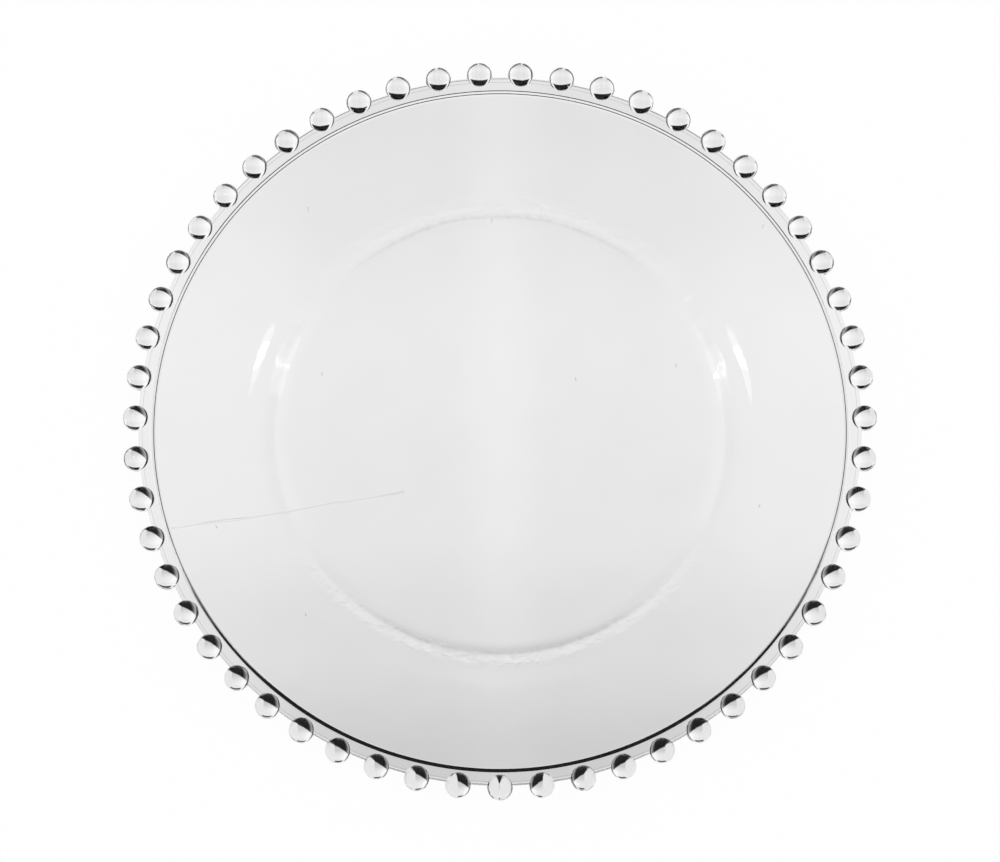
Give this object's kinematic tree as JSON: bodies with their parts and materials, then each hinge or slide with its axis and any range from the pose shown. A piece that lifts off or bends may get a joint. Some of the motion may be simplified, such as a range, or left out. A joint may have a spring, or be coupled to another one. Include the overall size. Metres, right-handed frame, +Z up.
{
  "type": "dessert plate",
  "caption": "Round clear glass dessert plate with a flat well, a broad sloping flange, a thin rim band and a row of round glass beads seated along its edge.",
  "frame": {"origin": "centre of the foot ring, on the surface that the plate stands on", "axes": "+Z up along the plate's axis, -Y towards the front, where the first bead is"},
  "size_m": [0.2048, 0.2047, 0.0121],
  "materials": {
    "pressed_glass": "clear, pressed and fire-polished",
    "bead_glass": "clear, fire-polished"
  },
  "bodies": {
    "root": {"plate_body": "pressed_glass", "bead_01": "bead_glass", "bead_02": "bead_glass", "bead_03": "bead_glass", "bead_04": "bead_glass", "bead_05": "bead_glass", "bead_06": "bead_glass", "bead_07": "bead_glass", "bead_08": "bead_glass", "bead_09": "bead_glass", "bead_10": "bead_glass", "bead_11": "bead_glass", "bead_12": "bead_glass", "bead_13": "bead_glass", "bead_14": "bead_glass", "bead_15": "bead_glass", "bead_16": "bead_glass", "bead_17": "bead_glass", "bead_18": "bead_glass", "bead_19": "bead_glass", "bead_20": "bead_glass", "bead_21": "bead_glass", "bead_22": "bead_glass", "bead_23": "bead_glass", "bead_24": "bead_glass", "bead_25": "bead_glass", "bead_26": "bead_glass", "bead_27": "bead_glass", "bead_28": "bead_glass", "bead_29": "bead_glass", "bead_30": "bead_glass", "bead_31": "bead_glass", "bead_32": "bead_glass", "bead_33": "bead_glass", "bead_34": "bead_glass", "bead_35": "bead_glass", "bead_36": "bead_glass", "bead_37": "bead_glass", "bead_38": "bead_glass", "bead_39": "bead_glass", "bead_40": "bead_glass", "bead_41": "bead_glass", "bead_42": "bead_glass", "bead_43": "bead_glass", "bead_44": "bead_glass", "bead_45": "bead_glass", "bead_46": "bead_glass", "bead_47": "bead_glass", "bead_48": "bead_glass", "bead_49": "bead_glass", "bead_50": "bead_glass", "bead_51": "bead_glass", "bead_52": "bead_glass", "bead_53": "bead_glass", "bead_54": "bead_glass", "bead_55": "bead_glass"}
  },
  "joints": []
}
